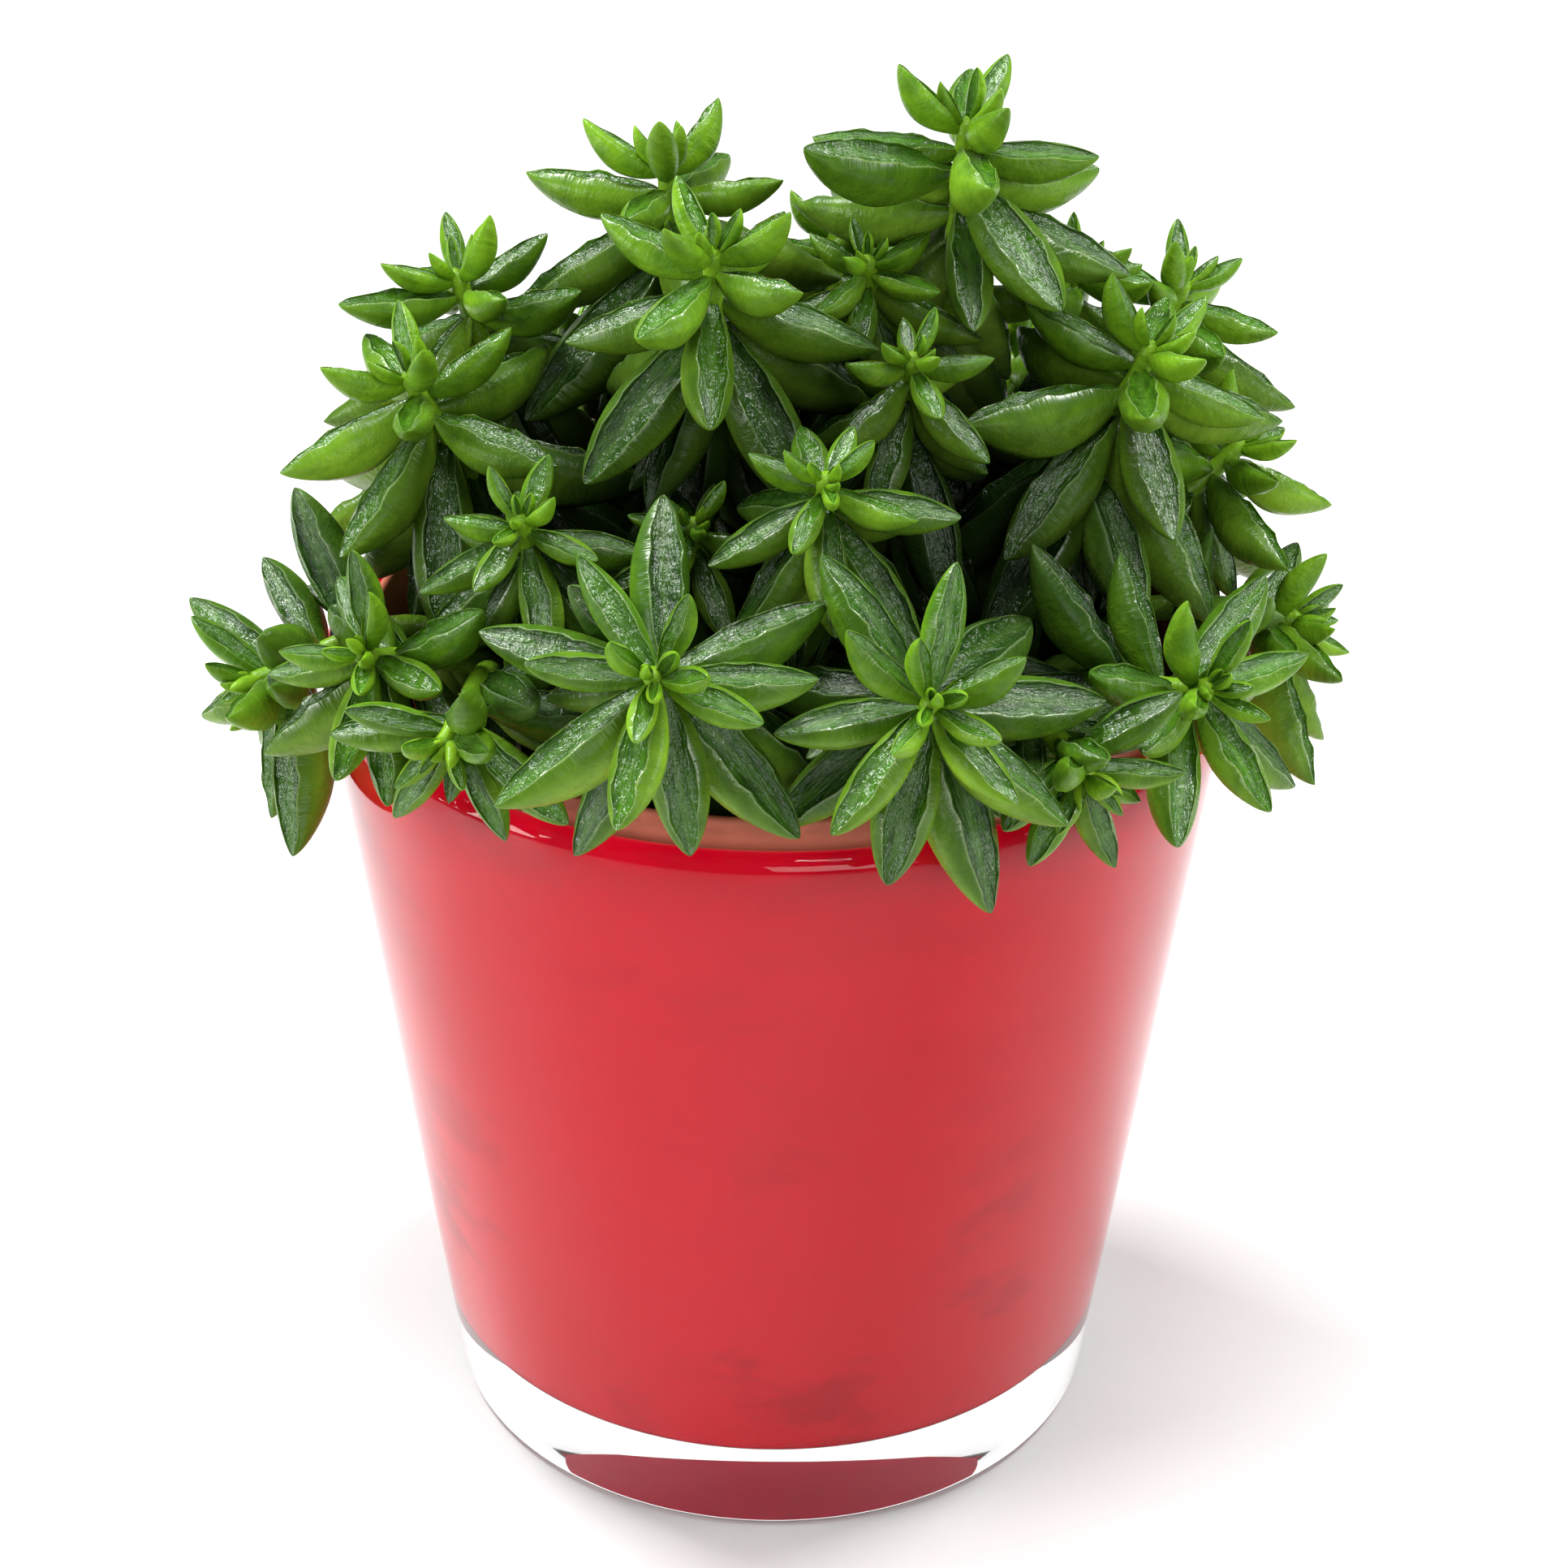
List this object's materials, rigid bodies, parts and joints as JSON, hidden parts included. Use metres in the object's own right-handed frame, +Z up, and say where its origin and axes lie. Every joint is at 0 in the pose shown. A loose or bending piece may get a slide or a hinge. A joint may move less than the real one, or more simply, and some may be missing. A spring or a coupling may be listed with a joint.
{
  "type": "potted plant",
  "caption": "Potted happy bean peperomia: leafy stems with folded bean-shaped leaves in a nursery pot, standing in a tapered red glass pot with a clear glass foot.",
  "frame": {"origin": "centre of the glass foot's underside, on the surface that the pot stands on", "axes": "+Z up along the pot's axis, -Y towards the viewer of the picture, +X to the viewer's right"},
  "size_m": [0.1642, 0.1565, 0.2033],
  "materials": {
    "clear_glass": "polished clear",
    "red_glass": "opaque glossy red",
    "terracotta_plastic": "thin satin plastic",
    "potting_soil": "dark crumbly soil",
    "leaf": "waxy succulent leaf, satin"
  },
  "bodies": {
    "root": {"glass_pot": "clear_glass", "red_inner_layer": "red_glass", "nursery_pot": "terracotta_plastic", "soil": "potting_soil", "stem_front_left": "leaf", "stem_front_right": "leaf", "stem_low_left": "leaf", "stem_right_front": "leaf", "stem_centre": "leaf", "stem_mid_left": "leaf", "stem_far_left": "leaf", "stem_far_right": "leaf", "stem_upper_right": "leaf", "stem_upper_left": "leaf", "stem_upper_mid": "leaf", "stem_rim_left": "leaf", "stem_rim_right": "leaf", "stem_dark_mid": "leaf", "stem_inner_right": "leaf", "stem_inner_back": "leaf", "stem_top_right": "leaf", "stem_upper_back": "leaf", "stem_back_left": "leaf", "stem_back_far_left": "leaf", "stem_back_right": "leaf", "stem_side_right": "leaf", "stem_back_middle": "leaf", "stem_back_low_left": "leaf", "stem_back_low_right": "leaf", "stem_rear_rim": "leaf", "stem_rear_left": "leaf", "stem_rear_right": "leaf"}
  },
  "joints": []
}
